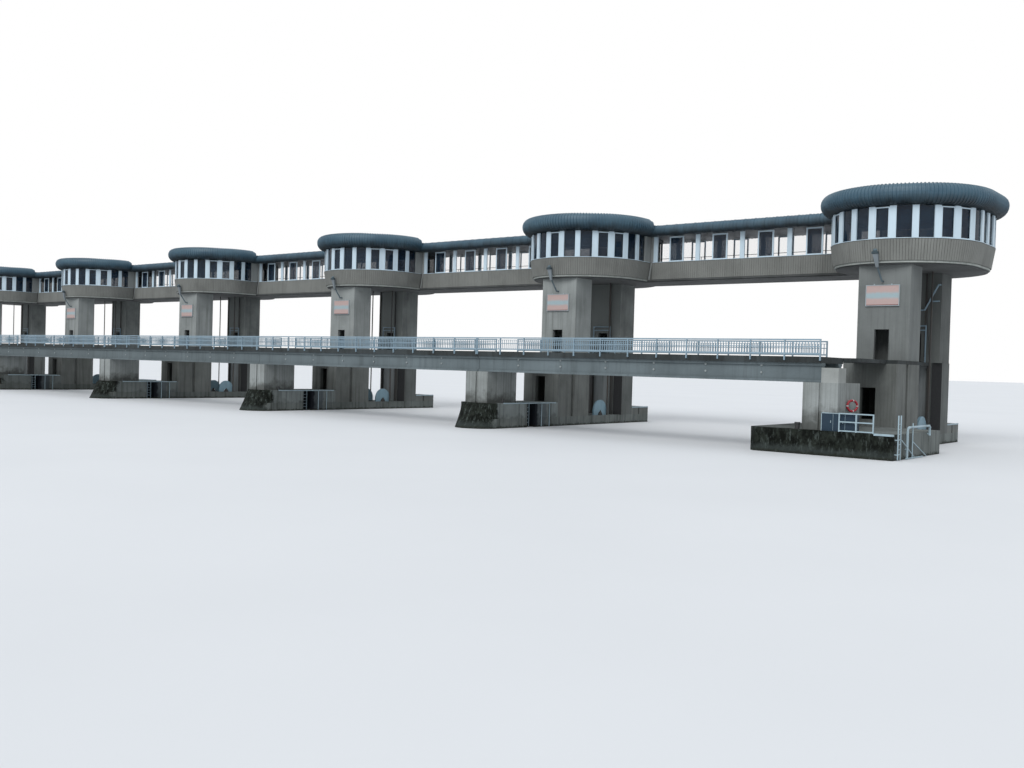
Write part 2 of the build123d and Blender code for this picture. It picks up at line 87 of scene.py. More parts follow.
# Sizes of the trim that is only in the scene
CABIN_BOARDS = 188
BOARD_STEP = 0.020
BOARD_SHARE = 0.43  # half a board's width as a share of its pitch
BOARD_OUT = 0.0022
CLAD_LOW, CLAD_HIGH = FLOOR + 0.002, SILL - 0.006
RING_STEPS = 132
SASH_BAYS = (-4, -3, 0, 3, 4)  # counted from a cabin's front middle
SASH_PLACES = (-1.5, -0.5, 0.5, 1.5)  # in steps of a gangway's posts from its middle
SASH_WIDTH, SASH_MEMBER = 0.140, 0.012
SEAMS = 156
SEAM_RISE, SEAM_WIDTH, SEAM_SLOPE = 0.0055, 0.0060, 0.0025
ROOF_CLEAR = 0.0005  # how far the seams stay inside the solids of the part


def place_camera():
    data = bpy.data.cameras.new("camera")
    data.lens = FOCAL
    data.sensor_width = SENSOR
    data.clip_end = 400
    right = Vector((math.cos(YAW), -math.sin(YAW), 0))
    level = Vector((math.sin(YAW), math.cos(YAW), 0))
    up = Vector((0, 0, 1))
    look = level * math.cos(PITCH) + up * math.sin(PITCH)
    lift = up * math.cos(PITCH) - level * math.sin(PITCH)
    side = right * math.cos(ROLL) + lift * math.sin(ROLL)
    top = lift * math.cos(ROLL) - right * math.sin(ROLL)
    turn = Matrix((side, top, -look)).transposed().to_4x4()
    camera = bpy.data.objects.new("camera", data)
    camera.matrix_world = Matrix.Translation(EYE) @ turn
    scene.collection.objects.link(camera)
    scene.camera = camera


place_camera()


# Materials
class Paint:
    """Builds one procedural material from noise, lines and levels in the part's own coordinates."""

    def __init__(self, name):
        self.material = bpy.data.materials.new(name)
        self.material.use_nodes = True
        self.tree = self.material.node_tree
        self.shader = self.tree.nodes["Principled BSDF"]
        place = self.tree.nodes.new("ShaderNodeTexCoord")
        self.place = place.outputs["Object"]
        split = self.tree.nodes.new("ShaderNodeSeparateXYZ")
        self.link(self.place, split.inputs[0])
        self.x, self.y, self.z = split.outputs

    def link(self, a, b):
        self.tree.links.new(a, b)

    def put(self, value, socket):
        if isinstance(value, (int, float)):
            socket.default_value = value
        elif isinstance(value, tuple):
            socket.default_value = (*value, 1)
        else:
            self.link(value, socket)

    def set(self, socket, value):
        self.shader.inputs[socket].default_value = value

    def noise(self, scale, detail=4, rough=0.55, stretch=(1, 1, 1)):
        mapping = self.tree.nodes.new("ShaderNodeMapping")
        mapping.inputs["Scale"].default_value = stretch
        self.link(self.place, mapping.inputs["Vector"])
        node = self.tree.nodes.new("ShaderNodeTexNoise")
        node.inputs["Scale"].default_value = scale
        node.inputs["Detail"].default_value = detail
        node.inputs["Roughness"].default_value = rough
        self.link(mapping.outputs[0], node.inputs["Vector"])
        return node.outputs["Fac"]

    def math(self, kind, a, b=0.0, clamp=False):
        node = self.tree.nodes.new("ShaderNodeMath")
        node.operation = kind
        node.use_clamp = clamp
        self.put(a, node.inputs[0])
        self.put(b, node.inputs[1])
        return node.outputs[0]

    def times(self, a, b):
        return self.math("MULTIPLY", a, b)

    def span(self, value, low, high, to_low=0.0, to_high=1.0):
        """Maps low..high onto to_low..to_high and clamps."""
        node = self.tree.nodes.new("ShaderNodeMapRange")
        self.put(value, node.inputs["Value"])
        keys = ("From Min", "From Max", "To Min", "To Max")
        for key, number in zip(keys, (low, high, to_low, to_high)):
            node.inputs[key].default_value = number
        return node.outputs[0]

    def mix(self, share, a, b):
        node = self.tree.nodes.new("ShaderNodeMix")
        node.data_type = "RGBA"
        self.put(share, node.inputs["Factor"])
        self.put(a, node.inputs["A"])
        self.put(b, node.inputs["B"])
        return node.outputs["Result"]

    def wavy(self, value, noise, reach):
        """The value, moved to and fro by the noise, by reach at the most."""
        return self.math("ADD", value, self.span(noise, 0.3, 0.7, -reach, reach))

    def from_pier(self):
        """X counted from the nearest pier's middle."""
        turn = self.math("FRACT", self.times(self.math("ADD", self.x, 3 * SPACING), 1 / SPACING))
        return self.math("SUBTRACT", self.times(turn, SPACING), HALF)

    def lines(self, value, pitch, width):
        """1 on thin lines at every pitch along a coordinate, 0 elsewhere."""
        turn = self.math("FRACT", self.times(value, 1 / pitch))
        edge = self.math("ABSOLUTE", self.math("SUBTRACT", turn, 0.5))
        return self.span(edge, 0.5 - width / pitch, 0.5 - 0.4 * width / pitch)

    def finish(self, colour, rough, height=None, strength=0.3, distance=0.002):
        self.put(colour, self.shader.inputs["Base Color"])
        self.put(rough, self.shader.inputs["Roughness"])
        if height is not None:
            bump = self.tree.nodes.new("ShaderNodeBump")
            bump.inputs["Strength"].default_value = strength
            bump.inputs["Distance"].default_value = distance
            self.put(height, bump.inputs["Height"])
            self.link(bump.outputs[0], self.shader.inputs["Normal"])
        return self.material


def gate_shade_and_light(p, colour, run, face):
    """Painted shade as black bands at the rear shafts' front corners, and painted light as a pale middle on
    their shaded front, which stands at the Y face.
    """
    aside = p.math("ABSOLUTE", p.from_pier())
    # Black bands at the front corners: painted shade in the recesses there
    corner_shade = p.times(p.span(aside, 0.124, 0.130), p.span(p.y, face + 0.053, face + 0.057, 1, 0))
    # Pale middle: painted light on a front face that lies in shade
    middle = p.times(p.span(aside, 0.080, 0.095, 1, 0), p.span(p.y, face, face + 0.008, 0.9, 0))
    pale = p.mix(p.span(run, 0.4, 0.7), (0.240, 0.262, 0.265), (0.120, 0.132, 0.134))
    return p.mix(middle, p.mix(corner_shade, colour, (0.009, 0.010, 0.011)), pale)


def notch_shade_and_wet_strip(p, colour, middle):
    """Painted shade as a black notch round the ladder on a pier's right side, and a wet strip downstream of
    it.
    """
    aside = p.from_pier()
    side = p.times(p.span(aside, 0.115, 0.122), p.span(aside, 0.190, 0.200, 1, 0))
    level = p.wavy(p.y, p.noise(22, 5), 0.012)
    start = p.span(p.y, middle - 0.053, middle - 0.049)
    # Black notch: painted shade in the recess round the ladder
    dark = p.times(start, p.span(level, middle + 0.075, middle + 0.100, 1, 0))
    wet = p.times(start, p.span(level, middle + 0.190, middle + 0.215, 0.5, 0))
    colour = p.mix(p.times(wet, side), colour, (0.030, 0.040, 0.055))
    return p.mix(p.times(dark, side), colour, (0.008, 0.010, 0.014))


def moss(p, colour, edge):
    """Moss ahead of the Y edge: black and green with paler streaks, washed off near the water."""
    reach = p.span(p.y, edge - 0.05, edge + 0.06, 0.75, -0.3)
    spread = p.math("ADD", reach, p.span(p.noise(9, 6, 0.7), 0.32, 0.68, -0.40, 0.35))
    blot = p.span(p.noise(1, 6, 0.75, (24, 24, 15)), 0.44, 0.60)
    tone = p.mix(blot, (0.003, 0.004, 0.003), (0.017, 0.021, 0.017))
    streak = p.span(p.noise(1, 5, 0.7, (46, 46, 13)), 0.54, 0.64, 0, 0.75)
    tone = p.mix(streak, tone, (0.062, 0.076, 0.070))
    washed = p.span(p.wavy(p.z, p.noise(17, 6, 0.7), -0.020), 0.030, 0.060, 0.55, 0)
    tone = p.mix(washed, tone, (0.046, 0.056, 0.054))
    p.set("Specular IOR Level", 0.12)
    return p.mix(p.span(spread, 0.05, 0.45), colour, tone)


def concrete(name, light, dark, stain, streaks, foot=None, crown=None, tide=None, growth=None,
             far=0.0, near=0.0, boards=0.0, front=None, gate=None, notch=None):
    """Weathered concrete in two tones, with stained streaks as strong as streaks says.

    foot and crown are the levels where it turns darker below and paler above, tide the level below
    which water darkens it, growth the Y ahead of which moss covers it, far the darkening towards the
    far end, near the painted shade at the bank pier, boards the pitch of the shuttering boards, front
    the Y ahead of which painted light makes it paler, gate the Y of a face with painted shade as black
    corners and painted light as a pale middle, and notch the Y of the ladder's notch, painted dark as shade.
    """
    p = Paint(name)
    cloud = p.noise(3.1, 6)
    patch = p.noise(13, 5)
    grain = p.noise(95, 5, 0.65)
    run = p.noise(1, 5, 0.6, (24, 24, 1.2))
    drip = p.noise(1, 3, 0.5, (75, 75, 2.2))
    colour = p.mix(p.span(cloud, 0.34, 0.66), dark, light)
    colour = p.mix(p.span(patch, 0.40, 0.75, 0, 0.35), colour, light)
    colour = p.mix(p.span(run, 0.50, 0.74, 0, streaks), colour, stain)
    colour = p.mix(p.span(drip, 0.58, 0.78, 0, 0.55 * streaks), colour, stain)
    colour = p.mix(p.span(grain, 0.25, 0.8, 0.16, 0), colour, stain)
    height = p.math("ADD", p.times(grain, 0.5), p.times(patch, 0.5))
    if boards:
        joint = p.times(p.lines(p.math("ADD", p.x, p.y), boards, 0.22 * boards), 0.10)
        colour = p.mix(joint, colour, stain)
        height = p.math("SUBTRACT", height, joint)
    if crown is not None:
        pale = p.wavy(p.z, run, 0.05)
        colour = p.mix(p.span(pale, crown - 0.08, crown + 0.05, 0, 0.55), colour, light)
    if foot is not None:
        low = p.wavy(p.z, p.noise(16, 5), 0.045)
        colour = p.mix(p.span(low, foot - 0.03, foot + 0.05, 0.75, 0), colour, stain)
    if far:
        colour = p.mix(p.span(p.x, -5.0, 4.5, far, 0), colour, stain)
    # Painted shade at the gate face's corners and painted light in its middle
    if gate is not None:
        colour = gate_shade_and_light(p, colour, run, gate)
    # Painted shade in the ladder's notch, and a real wet strip beside it
    if notch is not None:
        colour = notch_shade_and_wet_strip(p, colour, notch)
    # Painted light: paler ahead of the front Y, on a face that lies in shade
    if front is not None:
        colour = p.mix(p.span(p.y, front, front + 0.008, 0.8, 0), colour, light)
    # Painted shade: darker at the bank pier, whose towers stand in shade
    if near:
        colour = p.mix(p.span(p.x, 5.4, 6.6, 0, near), colour, stain)
    if growth is not None:
        colour = moss(p, colour, growth)
    if tide is not None:
        level = p.wavy(p.z, p.noise(34, 5), -0.010)
        colour = p.mix(p.span(level, 0.2 * tide, tide, 0.85, 0), colour, (0.016, 0.018, 0.013))
    return p.finish(colour, p.span(grain, 0.2, 0.8, 0.78, 0.97), height, 0.45, 0.004)


def paint(name, colour, worn, share=0.5, gloss=0.5, metal=0.0):
    """Painted or plain metal with faded, dusty and rubbed places."""
    p = Paint(name)
    cloud = p.noise(14, 5, 0.6, (1, 1, 0.25))
    fine = p.noise(130, 4, 0.6)
    tone = p.mix(p.span(cloud, 0.42, 0.72, 0, share), colour, worn)
    tone = p.mix(p.span(fine, 0.45, 0.8, 0, 0.25 * share), tone, worn)
    p.set("Metallic", metal)
    return p.finish(tone, p.span(cloud, 0.3, 0.7, gloss - 0.08, gloss + 0.12), fine, 0.12, 0.001)


def roof_metal(name):
    """Blue-grey sheet, with painted shade where the rim turns under and a painted highlight towards the top.
    """
    p = Paint(name)
    cloud = p.noise(5, 5)
    fine = p.noise(120, 4, 0.6)
    tone = p.mix(p.span(cloud, 0.35, 0.68), (0.033, 0.080, 0.118), (0.054, 0.110, 0.150))
    # Painted shade: dark where the rim turns under, and on the ceilings below it
    under = p.wavy(p.z, p.noise(1, 4, 0.5, (16, 16, 2)), 0.014)
    tone = p.mix(p.span(under, HEAD + 0.008, HEAD + 0.075, 0.90, 0), tone, (0.010, 0.015, 0.018))
    # Painted highlight: lighter towards the top, which faces the sky
    pale = p.span(p.z, HEAD + 0.085, ROOF_TOP - 0.01, 0, 0.35)
    tone = p.mix(pale, tone, (0.105, 0.170, 0.208))
    return p.finish(tone, p.span(cloud, 0.3, 0.7, 0.42, 0.56), fine, 0.10, 0.001)


def lip_concrete(name):
    """Pale edge of the gangways' floor over its underside, which is painted dark as shade."""
    p = Paint(name)
    cloud = p.noise(9, 5)
    drip = p.noise(1, 4, 0.6, (40, 40, 4))
    tone = p.mix(p.span(cloud, 0.35, 0.65), (0.300, 0.325, 0.305), (0.400, 0.425, 0.400))
    tone = p.mix(p.span(drip, 0.5, 0.75, 0, 0.5), tone, (0.120, 0.130, 0.120))
    # Painted shade: dark below the lip, on the floor's underside
    tone = p.mix(p.span(p.z, LIP - 0.0015, LIP + 0.0015, 1, 0), tone, (0.024, 0.031, 0.038))
    return p.finish(tone, p.span(cloud, 0.2, 0.8, 0.78, 0.95), cloud)


def window_glass(name, clear):
    """Glass in front of rooms, partly opaque, whose dark blue colour is painted shade standing in for the
    dark rooms; clear is the share that shows through.
    """
    p = Paint(name)
    cloud = p.noise(5, 4)
    p.set("Alpha", 1 - clear)
    p.set("Specular IOR Level", 0.36)
    # Dark blue: painted shade standing in for the dark rooms seen through the glass
    colour = p.mix(p.span(cloud, 0.35, 0.7), (0.006, 0.014, 0.028), (0.014, 0.030, 0.050))
    return p.finish(colour, p.span(cloud, 0.3, 0.7, 0.03, 0.09))


def banded_board(name):
    """A traditional board of faded bands, red over white over red, with a dark foot line."""
    p = Paint(name)
    red, white, edge = (0.44, 0.325, 0.305), (0.305, 0.395, 0.425), (0.16, 0.055, 0.050)
    level = p.wavy(p.z, p.noise(30, 4), 0.004)
    top = p.span(level, BOARD_FOOT + 0.080, BOARD_FOOT + 0.098)
    low = p.span(level, BOARD_FOOT + 0.042, BOARD_FOOT + 0.060, 1, 0)
    tone = p.mix(p.math("ADD", top, low, True), white, red)
    tone = p.mix(p.span(p.z, BOARD_FOOT + 0.006, BOARD_FOOT + 0.009, 1, 0), tone, edge)
    tone = p.mix(p.span(p.noise(60, 5), 0.5, 0.8, 0, 0.3), tone, (0.30, 0.30, 0.28))
    return p.finish(tone, 0.62)


def buoy_paint(name):
    """Red with pale bands, told apart by the direction from the ring's centre."""
    p = Paint(name)
    up = p.math("SUBTRACT", p.z, BUOY_Z)
    along = p.math("SUBTRACT", p.y, BUOY_Y)
    turn = p.math("ARCTAN2", up, p.times(along, 1.3))
    band = p.math("ABSOLUTE", p.math("SINE", p.times(turn, 2)))
    tone = p.mix(p.span(band, 0.16, 0.22, 1, 0), (0.260, 0.010, 0.018), (0.42, 0.44, 0.44))
    tone = p.mix(p.span(p.noise(60, 4), 0.5, 0.8, 0, 0.3), tone, (0.25, 0.08, 0.08))
    return p.finish(tone, 0.42)


# Light tone, dark tone, stain, strength of the streaks, and what concrete() takes beyond these
WET = ((0.185, 0.205, 0.200), (0.110, 0.123, 0.118), (0.018, 0.020, 0.016), 0.8)
CONCRETES = {
    "wet_concrete": (WET, dict(tide=0.022, growth=-1.10, notch=NOTCH, far=0.5)),
    "bank_platform_concrete": (WET, dict(tide=0.022, growth=-1.10)),
    "platform_concrete": (
        ((0.242, 0.272, 0.272), (0.158, 0.178, 0.176), (0.040, 0.043, 0.038), 0.9),
        dict(foot=0.06, growth=-1.04, notch=NOTCH, far=0.6),
    ),
    # Its dark tones are partly painted shade, for the shafts that stand in shade below the cabins
    "pier_concrete": (
        ((0.160, 0.172, 0.165), (0.095, 0.103, 0.097), (0.026, 0.028, 0.024), 0.6),
        dict(boards=0.022, far=0.35),
    ),
    # A darker copy of the shafts' concrete: painted shade on the rear shafts in the gap; gate adds painted
    # shade at their front corners and painted light in the middle of their front
    "shaded_rear_shaft_concrete": (
        ((0.120, 0.132, 0.128), (0.075, 0.083, 0.080), (0.025, 0.027, 0.025), 0.6),
        dict(boards=0.026, gate=REAR_FACE),
    ),
    "tower_concrete": (
        ((0.292, 0.314, 0.308), (0.190, 0.207, 0.203), (0.064, 0.071, 0.069), 0.6),
        # near is painted shade on the bank pier's towers
        dict(crown=1.17, near=0.50),
    ),
    # A darker copy of the towers' concrete: painted shade on the rear towers; near adds painted shade at the
    # bank pier, and front adds painted light on their front faces
    "shaded_rear_tower_concrete": (
        ((0.180, 0.195, 0.188), (0.082, 0.090, 0.087), (0.034, 0.038, 0.036), 0.6),
        dict(near=0.45, front=REAR_FACE),
    ),
    "bridge_pier_concrete": (
        ((0.300, 0.325, 0.322), (0.200, 0.218, 0.212), (0.040, 0.043, 0.038), 0.5),
        dict(foot=0.245, boards=0.030),
    ),
    "seat_concrete": (((0.340, 0.360, 0.350), (0.250, 0.265, 0.255), (0.090, 0.095, 0.090), 0.3), {}),
    "deck_concrete": (
        ((0.040, 0.050, 0.053), (0.014, 0.018, 0.018), (0.005, 0.006, 0.005), 0.7), dict(far=0.3),
    ),
    "soffit_concrete": (((0.085, 0.090, 0.090), (0.048, 0.051, 0.050), (0.020, 0.021, 0.020), 0.3), {}),
    "girder_paint": (
        ((0.138, 0.172, 0.185), (0.100, 0.126, 0.136), (0.030, 0.037, 0.036), 0.4), dict(far=0.40),
    ),
    "cladding_boards": (((0.215, 0.222, 0.208), (0.155, 0.160, 0.150), (0.075, 0.077, 0.070), 0.35), {}),
    "cladding_grooves": (((0.105, 0.108, 0.100), (0.080, 0.083, 0.077), (0.040, 0.041, 0.037), 0.3), {}),
}
# Colour, worn colour, how much of it is worn, roughness and metallic share
PAINTS = {
    "rail_paint": ((0.215, 0.305, 0.370), (0.130, 0.172, 0.200), 0.4),
    "window_frames": ((0.520, 0.640, 0.720), (0.320, 0.390, 0.430), 0.35, 0.4),
    "pilaster_paint": ((0.250, 0.265, 0.262), (0.170, 0.182, 0.178), 0.5, 0.7),
    "steel_gear": ((0.040, 0.042, 0.042), (0.090, 0.070, 0.052), 0.6, 0.55, 0.4),
    "guide_steel": ((0.030, 0.032, 0.031), (0.045, 0.036, 0.028), 0.6, 0.65),
    "cover_paint": ((0.175, 0.285, 0.350), (0.105, 0.145, 0.160), 0.5, 0.55),
    "lamp_metal": ((0.105, 0.150, 0.175), (0.060, 0.075, 0.082), 0.5, 0.5, 0.1),
    "ladder_paint": ((0.300, 0.400, 0.450), (0.150, 0.180, 0.190)),
    "cabinet_paint": ((0.005, 0.022, 0.043), (0.014, 0.036, 0.056), 0.5, 0.7),
    "bollard_iron": ((0.018, 0.020, 0.022), (0.045, 0.040, 0.035), 0.5, 0.6),
    "stud_paint": ((0.235, 0.262, 0.266), (0.150, 0.165, 0.165), 0.4, 0.6),
    "board_frame_paint": ((0.330, 0.385, 0.410), (0.200, 0.230, 0.240), 0.4),
    "hood_paint": ((0.185, 0.215, 0.235), (0.110, 0.130, 0.140)),
    "rim_paint": ((0.024, 0.045, 0.055), (0.040, 0.060, 0.070)),
}
CLEAR = {"window_glass": 0.30, "sash_glass": 0.22, "gangway_glass": 0.96}
LOOKS = {name: concrete(name, *tones, **more) for name, (tones, more) in CONCRETES.items()}
LOOKS.update({name: paint(name, *look) for name, look in PAINTS.items()})
LOOKS.update({name: window_glass(name, clear) for name, clear in CLEAR.items()})
LOOKS["floor_lip"] = lip_concrete("floor_lip")
LOOKS["roof_metal"] = roof_metal("roof_metal")
LOOKS["board_paint"] = banded_board("board_paint")
LOOKS["buoy_shell"] = buoy_paint("buoy_shell")

# Nodes and pieces that look different from others of their finish, which otherwise names the look
OWN_LOOKS = {
    "end_platform": "bank_platform_concrete",
    "nose_platforms": "platform_concrete",
    "bridge_piers": "bridge_pier_concrete",
    "end_seat_block": "seat_concrete",
    "rear_shafts": "shaded_rear_shaft_concrete",
    "rear_tower_walls": "shaded_rear_tower_concrete",
    "rear_tower_doorway_walls": "shaded_rear_tower_concrete",
    "cabin_cladding": "cladding_grooves",
    "gangway_cladding": "cladding_grooves",
    "gangway_glass": "gangway_glass",
    "girder_studs": "stud_paint",
    "board_frames": "board_frame_paint",
    "sash_panes": "sash_glass",
    "lamp_hoods": "hood_paint",
    "lamp_rims": "rim_paint",
}


def look_of(name, slot):
    return LOOKS[OWN_LOOKS.get(name, slot)]


for part in frame["record"]["subparts"]:
    mesh = nodes[part["node"]].data
    mesh.materials.clear()
    mesh.materials.append(look_of(part["node"], part["material_slot"]))


# Mesh helpers
def loop(mesh, points):
    return [mesh.verts.new(point) for point in points]


def sweep(mesh, loops):
    """A solid through loops of as many vertices each, closed at both ends."""
    mesh.faces.new(loops[0][::-1])
    mesh.faces.new(loops[-1])
    for a, b in zip(loops, loops[1:]):
        for k in range(len(a)):
            n = (k + 1) % len(a)
            mesh.faces.new((a[k], a[n], b[n], b[k]))


def skin(mesh, foot, head):
    """A solid between two outlines of as many points."""
    sweep(mesh, [loop(mesh, foot), loop(mesh, head)])


def bar(mesh, corners, low, high):
    """An upright prism on plan corners."""
    skin(mesh, [(x, y, low) for x, y in corners], [(x, y, high) for x, y in corners])


def box(mesh, x0, x1, y0, y1, z0, z1):
    bar(mesh, [(x0, y0), (x1, y0), (x1, y1), (x0, y1)], z0, z1)


def tube(mesh, points, radius, sides=8):
    """A round bar through points, mitred at its bends."""
    points = [Vector(p) for p in points]
    turns = [2 * math.pi * k / sides for k in range(sides)]
    loops = []
    for i, point in enumerate(points):
        before = (point - points[i - 1]).normalized() if i else None
        after = (points[i + 1] - point).normalized() if i + 1 < len(points) else None
        along = ((before or after) + (after or before)).normalized()
        helper = Vector((0, 0, 1)) if abs(along.z) < 0.9 else Vector((1, 0, 0))
        u = along.cross(helper).normalized()
        v = along.cross(u)
        reach = radius / max(0.5, along.dot(after or before))
        loops.append(loop(mesh, [point + (u * math.cos(t) + v * math.sin(t)) * reach for t in turns]))
    sweep(mesh, loops)


def loose(name, mesh):
    """A mesh object that isn't a piece of the part yet."""
    data = bpy.data.meshes.new(name)
    mesh.to_mesh(data)
    mesh.free()
    thing = bpy.data.objects.new(name, data)
    scene.collection.objects.link(thing)
    return thing


def piece(name, slot, mesh, replaced=(), bevel=0.0):
    """Turns a finished mesh into a piece that rides on the part."""
    bmesh.ops.recalc_face_normals(mesh, faces=mesh.faces)
    thing = loose(name, mesh)
    thing.data.materials.append(look_of(name, slot))
    if bevel:
        edge = thing.modifiers.new("edge", "BEVEL")
        edge.width = bevel
        edge.segments = 1
        edge.limit_method = "ANGLE"
    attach(thing, "root")
    if replaced:
        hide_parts(*replaced)


def on_oval(radius, travel):
    """Point and outward direction on a cabin's oval, travel being counted from its front centre."""
    side = 1 if travel > 0 else -1
    bend = math.pi * radius / 2
    along = min(max(abs(travel) - bend, 0), STRAIGHT)
    turn = (abs(travel) - along) / radius
    out = Vector((side * math.sin(turn), -math.cos(turn)))
    return Vector((0, CABIN_CENTRE + along)) + radius * out, out


def around(radius):
    return 2 * (math.pi * radius + STRAIGHT)


def across(out):
    return Vector((-out.y, out.x))


def joined(x, side):
    """Whether a gangway joins the cabin at x on that side."""
    return not (side < 0 and x == PIERS[0]) and not (side > 0 and x == PIERS[-1])


def opens(x, point, margin=0.0):
    """Whether a point of the oval of the cabin at x lies where a gangway joins it."""
    inside = GANG_FRONT - margin < point.y < GANG_REAR + margin
    return inside and joined(x, math.copysign(1, point.x))


def quarter(steps):
    """Sine and cosine of the steps of a quarter turn."""
    turns = [math.pi / 2 * i / steps for i in range(steps + 1)]
    return [(math.sin(t), math.cos(t)) for t in turns]


def side_normals(points):
    """Normals on the left of an open line of points."""
    normals = []
    for k in range(len(points)):
        a, b = points[max(k - 1, 0)], points[min(k + 1, len(points) - 1)]
        run = Vector((b[0] - a[0], b[1] - a[1])).normalized()
        normals.append(across(run))
    return normals


def cabin_boards():
    """Cladding boards round the cabins, each a thin board on the leaning wall."""
    mesh = bmesh.new()
    pitch = around(CLAD_TOP) / CABIN_BOARDS
    taper = 0.96

    def corners(middle, out, half):
        along = across(out) * half
        inner, outer = middle - out * 0.002, middle + out * BOARD_OUT
        return [inner - along, outer - along, outer + along, inner + along]

    for x in PIERS:
        for i in range(CABIN_BOARDS):
            middle, out = on_oval(CLAD_TOP, (i + 0.5 - CABIN_BOARDS / 2) * pitch)
            if opens(x, middle, 0.002):
                continue
            half = BOARD_SHARE * pitch
            top = middle + Vector((x, 0))
            foot = top - out * (CLAD_TOP - CLAD_FOOT)
            low, high = corners(foot, out, half * taper), corners(top, out, half)
            skin(mesh, [(*v, CLAD_LOW) for v in low], [(*v, CLAD_HIGH) for v in high])
    piece("cabin_boards", "cladding_boards", mesh)


def gangway_boards():
    mesh = bmesh.new()
    for x in SPANS:
        for y, out, reach in ((GANG_FRONT, -1, FRONT_END), (GANG_REAR, 1, REAR_END)):
            count = int(2 * reach / BOARD_STEP)
            pitch = 2 * reach / count
            half = BOARD_SHARE * pitch
            y0, y1 = sorted((y - out * 0.001, y + out * BOARD_OUT))
            for i in range(count):
                middle = x - reach + (i + 0.5) * pitch
                box(mesh, middle - half, middle + half, y0, y1, CLAD_LOW, CLAD_HIGH)
    piece("gangway_boards", "cladding_boards", mesh)


def ring(mesh, x, radius, thickness, low, high):
    """A level strip round a cabin, open where a gangway joins it."""
    length = around(radius)
    runs = [[]]
    for i in range(RING_STEPS + 1):
        point, out = on_oval(radius, (i / RING_STEPS - 0.5) * length)
        if opens(x, point):
            if runs[-1]:
                runs.append([])
            continue
        inner = point + Vector((x, 0))
        outer = inner + out * thickness
        corners = ((inner, low), (outer, low), (outer, high), (inner, high))
        runs[-1].append(loop(mesh, [(*p, z) for p, z in corners]))
    for run in runs:
        sweep(mesh, run)


def window_sills():
    mesh = bmesh.new()
    ahead, behind = 0.0035, 0.0118
    for x in PIERS:
        ring(mesh, x, GLASS + 0.0005, 0.0145, SILL - 0.0015, SILL + 0.0020)
    for x in SPANS:
        front, rear = (GANG_FRONT - ahead, GANG_FRONT + behind), (GANG_REAR - behind, GANG_REAR + ahead)
        for reach, walls in ((FRONT_END, front), (REAR_END - 0.004, rear)):
            box(mesh, x - reach, x + reach, *walls, SILL - 0.0020, SILL + 0.0020)
    piece("window_sills", "window_frames", mesh)


def frame_of(mesh, centre, along, out, width, low, high, member, depth):
    """A rectangular sash frame standing on a line, with its face towards out."""
    def post(a, b, z0, z1):
        p, q = centre + along * a, centre + along * b
        bar(mesh, [p - out * depth, q - out * depth, q, p], z0, z1)
    half = width / 2
    post(-half, -half + member, low, high)
    post(half - member, half, low, high)
    post(-half + member, half - member, high - member, high)
    post(-half + member, half - member, low, low + 0.6 * member)


def window_sashes():
    mesh = bmesh.new()
    pitch = around(GLASS + 0.0003) / BAYS
    radius = GLASS + 0.009
    width = pitch - MULLION + 0.002
    for x in PIERS:
        for bay in SASH_BAYS:
            point, out = on_oval(radius, bay * pitch * radius / GLASS)
            centre = point + Vector((x, 0))
            frame_of(mesh, centre, across(out), out, width, SILL + 0.003, HEAD - 0.006, 0.0085, 0.008)
    for x in SPANS:
        for k in SASH_PLACES:
            for y, out in ((GANG_FRONT, -1), (GANG_REAR, 1)):
                centre = Vector((x + k * POST_STEP, y - out * 0.002))
                frame_of(mesh, centre, Vector((1, 0)), Vector((0, out)), SASH_WIDTH,
                         SILL + 0.002, HEAD - 0.004, SASH_MEMBER, 0.010)
    piece("window_sashes", "window_frames", mesh, bevel=0.0008)


def sash_panes():
    """Dark panes in the sashes that stand ajar on the gangways' front."""
    mesh = bmesh.new()
    half = SASH_WIDTH / 2 - SASH_MEMBER + 0.0005
    front = GANG_FRONT + 0.006
    for x in SPANS:
        for k in SASH_PLACES:
            centre = x + k * POST_STEP
            box(mesh, centre - half, centre + half, front, front + 0.002, SILL + 0.0087, HEAD - 0.0155)
    piece("sash_panes", "window_glass", mesh)


def joint_covers():
    """Boards over the joints between cabins and gangways, set back a little from both."""
    mesh = bmesh.new()
    width, back, deep, clear = 0.0165, 0.0025, 0.008, 0.001
    rear_reach = GANG_REAR - CABIN_CENTRE - STRAIGHT
    for x in PIERS:
        for side in (-1, 1):
            if not joined(x, side):
                continue
            for wall, out, reach in ((GANG_FRONT, -1, 0.0), (GANG_REAR, 1, rear_reach)):
                foot = math.sqrt(CLAD_FOOT ** 2 - reach ** 2) - clear
                top = math.sqrt(CLAD_TOP ** 2 - reach ** 2) - clear
                y0, y1 = sorted((wall - out * back, wall - out * (back + deep)))
                corners = ((0, y0), (width, y0), (width, y1), (0, y1))
                levels = (FLOOR + clear, SILL - clear, foot, top), (SILL + clear, HEAD - clear, top, top)
                for low, high, start, end in levels:
                    near = [(x + side * (start + d), y, low) for d, y in corners]
                    far = [(x + side * (end + d), y, high) for d, y in corners]
                    skin(mesh, near, far)
    piece("joint_covers", "pilaster_paint", mesh)


def rim_profile():
    """Points of a cabin roof's rim from the window line to the flat top, as set-back and level."""
    foot = [(RIM_FOOT * (1 - s), HEAD + RIM_FOOT * (1 - c)) for s, c in quarter(6)[1:]]
    top = [(RIM_TOP * (1 - c), ROOF_TOP - RIM_TOP * (1 - s)) for s, c in quarter(6)]
    return [(RIM_FOOT + 0.012, HEAD), (RIM_FOOT, HEAD)] + foot + top + [(0.11, ROOF_TOP), (0.20, ROOF_TOP)]


